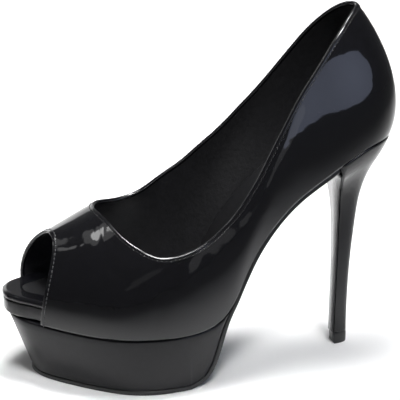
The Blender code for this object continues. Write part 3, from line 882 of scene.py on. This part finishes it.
def smooth_loop(values, rounds, closed):
    """Values along a path, each mixed with its neighbours a few times."""
    for _ in range(rounds):
        if closed:
            values = (np.roll(values, 1, 0) + 2.0 * values + np.roll(values, -1, 0)) / 4.0
        else:
            inner = (values[:-2] + 2.0 * values[1:-1] + values[2:]) / 4.0
            values = np.concatenate([values[:1], inner, values[-1:]])
    return values


def outer_sheet(shell):
    """The shell's outer face, to ask for the nearest point and its normal."""
    body = bmesh.new()
    body.from_mesh(shell.data)
    body.normal_update()
    return BVHTree.FromBMesh(body)


def make_edges(shell, stations, grids, skin, thread, toe_thread_painted_glint):
    """Folds and stitches around the collar and the peep toe, on the shell where it lies."""
    sheet = outer_sheet(shell)
    behind = stations >= THROAT
    lateral_top = grids[-1][behind, -1]
    medial_top = grids[1][behind, -1]
    collar = np.concatenate([lateral_top, medial_top[-2:0:-1]]) + np.array(SHIFT)
    peep = np.concatenate([grids[-1][0], grids[1][0][-2::-1]]) + np.array(SHIFT)
    make_edge("collar", collar, True, sheet, (0.0, 0.0, 1.0), skin, thread)
    make_edge("peep", peep, False, sheet, (-1.0, 0.0, 0.0), skin, toe_thread_painted_glint)


def make_edge(name, path, closed, sheet, outside, skin, thread):
    """A folded edge along the shell's rim, and a row of stitches inside it."""
    path = even_steps(path, EDGE_STEP, closed)
    normals = np.array([sheet.find_nearest(Vector(point))[1] for point in path])
    out = np.cross(run_along(path, closed), normals)
    out *= np.median(np.sign(out @ outside))
    normals = smooth_loop(normals, NORMAL_ROUNDS, closed)
    out = smooth_loop(out, OUTWARD_ROUNDS, closed)
    centre = path - normals * (WALL / 2.0) - out * (FOLD_DEPTH - FOLD_SINK)
    run = run_along(centre, closed)
    across = unit(np.cross(run, out))
    deep = np.cross(across, run)
    points = rings(centre, across[:, None], deep[:, None], FOLD_WIDTH, FOLD_DEPTH, FOLD_SIDES)
    faces = tube_faces(len(centre), FOLD_SIDES, closed)
    place(clean_mesh(name + "_fold", points, faces, [skin], shift=Vector()), "patent_upper")
    spots = even_steps(path - out * STITCH_IN, STITCH_PITCH, closed)
    make_stitches(name + "_stitches", spots, sheet, closed, thread)


def make_stitches(name, spots, sheet, closed, thread):
    """A short thick thread at each spot, its ends let into the leather."""
    points, faces = [], []
    share, girth = np.array(STITCH).T
    lift = STITCH_RADIUS * (STITCH_TOP - STITCH_DROP * share**2)
    radius = STITCH_RADIUS * girth[:, None, None]
    for spot, run in zip(spots, run_along(spots, closed)):
        at, normal, _, _ = sheet.find_nearest(Vector(spot))
        normal = np.array(normal)
        along = unit(run - normal * run.dot(normal))
        path = np.array(at) + share[:, None] * along * STITCH_LENGTH / 2.0 + lift[:, None] * normal
        faces += tube_faces(len(path), STITCH_SIDES, first=len(points))
        points += list(rings(path, np.cross(along, normal), normal, radius, radius, STITCH_SIDES))
    place(clean_mesh(name, points, faces, [thread], shift=Vector()), "patent_upper")


def tread_stations(*more):
    """Stations along the tread and up the rear of the platform, and on if more are given."""
    tread = smooth_stations(0.0, TREAD_END, FINE_TREAD)
    rear = np.linspace(TREAD_END, PLATFORM_END, FINE_REAR)
    return np.concatenate([tread, rear[1:], *more])


def make_platform(skin):
    """The wrapped platform block, round at its foot and at its shoulder, with straight sides between."""
    stations = tread_stations()
    rim = blend(stations, RIM_TURN, RIM_TOE, RIM)
    soft = blend(stations, SHARP_TURN, 1.0, SHARP)
    foot = OUTSOLE + GAP
    levels = []
    for narrow, lift in quarter_round(FOOT_STEPS)[:-1]:
        levels.append(level_on_sole(stations, FOOT_ROUND * narrow, foot + FOOT_ROUND * soft * lift))
    base = level_on_sole(stations, 0.0, foot + FOOT_ROUND * soft)
    top = level_on_bed(stations, rim, -GAP - SHOULDER_ROUND * soft)
    for share in np.linspace(0.0, 1.0, SIDE_STEPS):
        levels.append([(1.0 - share) * low + share * high for low, high in zip(base, top)])
    for drop, narrow in quarter_round(SHOULDER_STEPS)[1:]:
        depth = GAP + SHOULDER_ROUND * soft * drop
        levels.append(level_on_bed(stations, rim + SHOULDER_ROUND * narrow, -depth))
    place(clean_mesh("platform_wrap", *stack(levels), [skin]), "patent_platform", "platform")


def make_outsole(rubber):
    """The rubber sheet under the platform, up its rear face and under the arch."""
    stations = tread_stations(np.linspace(PLATFORM_END, OUTSOLE_END, FINE_ARCH)[1:])
    levels = []
    for narrow, lift in quarter_round(FOOT_STEPS):
        levels.append(level_on_sole(stations, FOOT_ROUND * narrow, FOOT_ROUND * lift))
    for narrow, height in OUTSOLE_TOP:
        levels.append(level_on_sole(stations, FOOT_ROUND * narrow, OUTSOLE * height))
    place(clean_mesh("outsole_sheet", *stack(levels), [rubber]), "outsole_rubber", "outsole")


def make_board(skin):
    """The insole board with its wrapped front edge, over a groove."""
    stations = smooth_stations(0.0, SEAT_BACK, FINE_INSOLE)
    inset = insole_inset(stations)
    lift = blend(stations, BOARD_TURN, BOARD_TOE, BOARD)
    groove = blend(stations, BOARD_TURN, GROOVE_TOE, GROOVE)
    levels = [level_on_bed(stations, inset + groove, BOARD_LIFT)]
    for narrow, height in BOARD_GROOVE:
        levels.append(level_on_bed(stations, inset + narrow * groove, height * groove))
    for drop, narrow in quarter_round(FOOT_STEPS):
        levels.append(level_on_bed(stations, inset + FOOT_ROUND * narrow, lift - FOOT_ROUND * drop))
    place(clean_mesh("insole_band", *stack(levels), [skin]), "patent_band", "insole_board")


def sock_layer(stations):
    """The underside of the sock over the bed, and its thickness."""
    base = blend(stations, BOARD_TURN, BOARD_TOE, BOARD) + GAP
    thick = blend(stations, SOCK_TURN, SOCK_TOE, SOCK)
    return base, thick


def make_sock(leather):
    """The padded sock with its round edge."""
    stations = smooth_stations(0.0, SEAT_BACK, FINE_INSOLE)
    inset = insole_inset(stations)
    base, thick = sock_layer(stations)
    levels = []
    for turn in np.linspace(-0.5 * np.pi, 0.5 * np.pi, SOCK_STEPS):
        share = 0.5 + 0.5 * math.sin(turn)
        narrow = SOCK_ROUND * (1.0 - math.cos(turn))
        levels.append(level_on_bed(stations, inset + narrow, base + share * thick))
    place(clean_mesh("sock", *stack(levels), [leather]), "sock_lining", "insole")


def strip_section():
    """The strip's section, round the insole's edge and back: inset, share of the sock, and rise."""
    section = []
    for turn in np.radians(np.linspace(STRIP_START, 90.0, STRIP_STEPS)):
        narrow = (SOCK_ROUND + STRIP_THICK) * (1.0 - math.cos(turn)) - STRIP_THICK
        section.append((narrow, 0.5 + 0.5 * math.sin(turn), STRIP_THICK * max(0.0, math.sin(turn))))
    for narrow in np.linspace(SOCK_ROUND, STRIP_WIDTH, STRIP_ROWS)[1:]:
        section.append((narrow, 1.0, STRIP_THICK))
    section.append((STRIP_WIDTH + STRIP_LIP, 1.0, STRIP_EDGE * STRIP_THICK))
    section.append((STRIP_WIDTH + STRIP_HEM, 1.0, -STRIP_SINK))
    section.append((SOCK_ROUND, 1.0, -STRIP_SINK))
    section.append((STRIP_INSIDE * SOCK_ROUND, 0.5, 0.0))
    return section


def make_toe_strip(skin):
    """The patent strip wrapped over the insole's front edge."""
    stations = smooth_stations(0.0, STRIP_END, FINE_STRIP)
    inset = insole_inset(stations)
    base, thick = sock_layer(stations)
    lines = []
    for narrow, share, proud in strip_section():
        lateral, medial = level_on_bed(stations, inset + narrow, base + share * thick + proud)
        lines.append(np.concatenate([lateral[::-1], medial[1:]]))
    grid = np.array(lines).transpose(1, 0, 2)
    faces = tube_faces(*grid.shape[:2])
    place(clean_mesh("toe_strip", grid.reshape(-1, 3), faces, [skin]), "patent_band")


def heel_flare(before, low, high, share):
    """From the heel's slices on to the seat: a curve that leaves the last slice in its own direction."""
    bend = low + unit(low - before) * FLARE_BEND * np.linalg.norm(high - low, axis=1)[:, None]
    return (1.0 - share) ** 2 * low + 2.0 * share * (1.0 - share) * bend + share**2 * high


def heel_seat(stations):
    """The heel's edge just under the seat."""
    return level_on_bed(stations, SEAT_INSET, -GAP - SEAT_ROUND)


def make_heel(skin):
    """The covered heel in slices, then its flare and the square edge under the seat."""
    stations = np.linspace(BREAST, SEAT_BACK, FINE_HEEL)
    levels = []
    for height, front, back, half, tilt in heel_slices(np.linspace(0.0, len(HEEL) - 1.0, FINE_LEVELS)):
        middle = bed_height((front + back) / 2.0)
        pair = []
        for edge in heel_outline(front, back, half, stations):
            level = height + tilt * (bed_height(edge[:, 0]) - middle)
            pair.append(np.column_stack([edge, level]))
        levels.append(pair)
    ends = list(zip(levels[-2], levels[-1], heel_seat(stations)))
    for share in np.linspace(0.0, 1.0, FLARE_STEPS)[1:]:
        levels.append([heel_flare(*end, share) for end in ends])
    for narrow, drop in HEEL_EDGE:
        levels.append(level_on_bed(stations, SEAT_INSET + SEAT_ROUND * narrow, -GAP - SEAT_ROUND * drop))
    place(clean_mesh("heel_cover", *stack(levels), [skin]), "patent_heel", "heel")


def heel_front():
    """The heel's front line up to part of its flare: rows, and along, half width and height."""
    last = len(HEEL) - 1.0
    rows = np.linspace(0.0, last, FINE_BREAST)
    front = []
    for height, along, rear, half, tilt in heel_slices(rows):
        lift = tilt * (bed_height(np.array([along])) - bed_height((along + rear) / 2.0))[0]
        front.append((along, half, height + lift))
    front = np.array(front)
    seat = heel_seat(np.array([BREAST]))[1]
    shares = np.linspace(0.0, BREAST_REACH, FINE_FLARE)[1:]
    flare = [heel_flare(front[-2:-1], front[-1:], seat, share)[0] for share in shares]
    return np.concatenate([rows, last + shares]), np.concatenate([front, flare])


def make_breast(skin):
    """The cover on the heel's front face, up to just below the seat, with a round top end."""
    rows, front = heel_front()
    deep, wide = np.array(BREAST_SECTION).T
    levels = []
    for row, (along, half, height) in zip(rows, front):
        into_end = np.clip((row - BREAST_TURN) / (rows[-1] - BREAST_TURN), 0.0, 1.0)
        width = (half - BREAST_MARGIN) * np.sqrt(1.0 - BREAST_END * into_end**BREAST_POWER)
        pair = []
        for side in (-1, 1):
            depth = along - GAP - SHEET * deep
            across = side * (width - BREAST_ROUNDING * (1.0 - wide))
            pair.append(np.stack([depth, across, np.full(len(deep), height)], 1))
        levels.append(pair)
    place(clean_mesh("breast_cover", *stack(levels), [skin]), "patent_breast", "heel_breast")


def make_tip(rubber):
    """The rubber top piece under the heel."""
    _, front, back, half, _ = heel_slices([0.0])[0]
    stations = np.linspace(BREAST, SEAT_BACK, FINE_HEEL)
    levels = []
    for narrow, height in TIP_EDGE:
        inset = narrow * TIP_ROUND
        pair = heel_outline(front + inset, back - inset, half - inset, stations)
        levels.append([np.column_stack([edge, np.full(len(edge), height * TIP_HEIGHT)]) for edge in pair])
    place(clean_mesh("top_piece", *stack(levels), [rubber]), "tip_rubber", "heel_tip")


def new_material(name):
    """A material, with its node tree and its shader."""
    material = bpy.data.materials.new(name)
    material.use_nodes = True
    tree = material.node_tree
    return material, tree, tree.nodes["Principled BSDF"]


def add_noise(tree, scale, detail):
    """Noise in the object's own coordinates."""
    coordinates = tree.nodes.new("ShaderNodeTexCoord")
    noise = tree.nodes.new("ShaderNodeTexNoise")
    noise.inputs["Scale"].default_value = scale
    noise.inputs["Detail"].default_value = detail
    tree.links.new(coordinates.outputs["Object"], noise.inputs["Vector"])
    return noise


def bump(tree, shader, layers, socket="Normal"):
    """Noise bumps one after another, a row per layer as in the tables above."""
    last = None
    for scale, detail, strength, height in layers:
        noise = add_noise(tree, scale, detail)
        node = tree.nodes.new("ShaderNodeBump")
        node.inputs["Strength"].default_value = strength
        node.inputs["Distance"].default_value = height
        tree.links.new(noise.outputs["Fac"], node.inputs["Height"])
        if last:
            tree.links.new(last.outputs["Normal"], node.inputs["Normal"])
        last = node
    tree.links.new(last.outputs["Normal"], shader.inputs[socket])


def vary(tree, shader, drift, dark, light):
    """A colour that drifts between two over the surface."""
    noise = add_noise(tree, *drift)
    ramp = tree.nodes.new("ShaderNodeValToRGB")
    for stop, share, colour in zip(ramp.color_ramp.elements, DRIFT_RAMP, (dark, light)):
        stop.position = share
        stop.color = (*colour, 1.0)
    tree.links.new(noise.outputs["Fac"], ramp.inputs["Fac"])
    tree.links.new(ramp.outputs["Color"], shader.inputs["Base Color"])


def patent(name, colour, gloss, waves, coat=1.0):
    """Black patent leather: dark leather under a clear, slightly wavy lacquer."""
    material, tree, shader = new_material(name)
    vary(tree, shader, PATENT_DRIFT, [PATENT_DARKEST * part for part in colour], colour)
    shader.inputs["Roughness"].default_value = LEATHER_ROUGH
    shader.inputs["Specular IOR Level"].default_value = LEATHER_SHINE
    shader.inputs["Coat Weight"].default_value = coat
    shader.inputs["Coat Roughness"].default_value = gloss
    shader.inputs["Coat IOR"].default_value = LACQUER_IOR
    bump(tree, shader, waves, "Coat Normal")
    bump(tree, shader, LEATHER_GRAIN)
    return material


def matte(name, colours, rough, grain, shine=0.3):
    """Lining leather, rubber or thread: one colour that drifts a little, with a fine grain."""
    material, tree, shader = new_material(name)
    vary(tree, shader, MATTE_DRIFT, *colours)
    shader.inputs["Roughness"].default_value = rough
    shader.inputs["Specular IOR Level"].default_value = shine
    bump(tree, shader, grain)
    return material


def add_stage():
    """A plain pale floor that bends up into a wall behind the shoe."""
    pale, tree, shader = new_material("pale_floor")
    vary(tree, shader, FLOOR_DRIFT, *PALE)
    shader.inputs["Roughness"].default_value = FLOOR_ROUGH
    shader.inputs["Specular IOR Level"].default_value = 0.0
    profile = [(FLOOR_FRONT, 0.0), (FLOOR_BACK, 0.0)]
    for turn in np.linspace(0.0, 0.5 * np.pi, FLOOR_STEPS)[1:]:
        profile.append((FLOOR_BACK + FLOOR_BEND * math.sin(turn), FLOOR_BEND * (1.0 - math.cos(turn))))
    profile.append((FLOOR_BACK + FLOOR_BEND, WALL_TOP))
    points = [(along, y, z) for along in (-FLOOR_HALF, FLOOR_HALF) for y, z in profile]
    count = len(profile)
    faces = [(index, index + 1, count + index + 1, count + index) for index in range(count - 1)]
    mesh = bpy.data.meshes.new("studio_floor")
    mesh.from_pydata(points, [], faces)
    mesh.materials.append(pale)
    for polygon in mesh.polygons:
        polygon.use_smooth = True
    floor = bpy.data.objects.new("studio_floor", mesh)
    bpy.context.scene.collection.objects.link(floor)


def add_panel(name, azimuth, elevation, reach, width, height, radiance, colour, spread, aim, shape, roll):
    """A soft light panel, a row of the table above."""
    data = bpy.data.lights.new(name, "AREA")
    data.shape = shape
    data.size = width
    data.size_y = height
    data.energy = radiance * math.pi * width * height
    if shape == "ELLIPSE":
        data.energy *= math.pi / 4.0
    data.color = colour
    data.spread = math.radians(spread)
    turn = math.radians(azimuth)
    rise = math.radians(elevation)
    towards = Vector((math.sin(turn) * math.cos(rise), -math.cos(turn) * math.cos(rise), math.sin(rise)))
    light = bpy.data.objects.new(name, data)
    light.location = Vector(SHOE_MIDDLE) + reach * towards
    facing = (Vector(aim) - light.location).to_track_quat("-Z", "Y")
    light.rotation_euler = (facing @ Quaternion((0.0, 0.0, 1.0), math.radians(roll))).to_euler()
    bpy.context.scene.collection.objects.link(light)


def add_camera():
    """The photograph's camera."""
    data = bpy.data.cameras.new("camera")
    data.lens = CAMERA_LENS
    data.sensor_width = CAMERA_SENSOR
    data.clip_start, data.clip_end = CAMERA_CLIP
    camera = bpy.data.objects.new("camera", data)
    camera.location = CAMERA_AT
    camera.rotation_euler = Vector(CAMERA_LOOK).to_track_quat("-Z", "Y").to_euler()
    bpy.context.scene.collection.objects.link(camera)
    bpy.context.scene.camera = camera


def add_world(strength):
    """Faint even light from all around."""
    world = bpy.data.worlds.new("studio")
    bpy.context.scene.world = world
    world.use_nodes = True
    back = world.node_tree.nodes["Background"]
    back.inputs["Color"].default_value = (*WHITE, 1.0)
    back.inputs["Strength"].default_value = strength


patent_upper = patent("patent_leather", BLACK, gloss=0.05, waves=UPPER_WAVES)
patent_block = patent("patent_wrap", BLACK, gloss=0.06, waves=BLOCK_WAVES, coat=0.5)
patent_heel = patent("patent_heel_cover", BLACK, gloss=0.05, waves=HEEL_WAVES, coat=0.75)
# The insole band's finish takes the lighter band colour, a painted reflection
patent_band = patent("patent_band", BAND_PAINTED_REFLECTION, gloss=0.15, waves=BLOCK_WAVES)
patent_fold = patent("patent_fold", BLACK, gloss=0.05, waves=FOLD_WAVES)
lining = matte("lining", LINING, rough=0.36, grain=LINING_GRAIN, shine=1.0)
sock = matte("sock_leather", SOCK_LEATHER, rough=0.45, grain=SOCK_GRAIN)
rubber = matte("outsole_black", RUBBER, rough=0.38, grain=RUBBER_GRAIN, shine=0.5)
thread = matte("thread", THREAD, rough=0.2, grain=THREAD_GRAIN, shine=0.7)
# The toe stitches' finish takes the lighter toe thread colour, painted glints
toe_thread_painted_glint = matte("toe_thread_painted_glint", TOE_THREAD_PAINTED_GLINT, rough=0.3, grain=THREAD_GRAIN, shine=0.6)

shell, stations, grids = make_upper(patent_upper, lining)
make_edges(shell, stations, grids, patent_fold, thread, toe_thread_painted_glint)
make_platform(patent_block)
make_outsole(rubber)
make_board(patent_band)
make_sock(sock)
make_toe_strip(patent_upper)
make_heel(patent_heel)
make_breast(patent_heel)
make_tip(rubber)

add_stage()
add_camera()
add_world(WORLD_LIGHT)
for panel in PANELS:
    add_panel(*panel)

scene = bpy.context.scene
scene.view_settings.view_transform = "Standard"
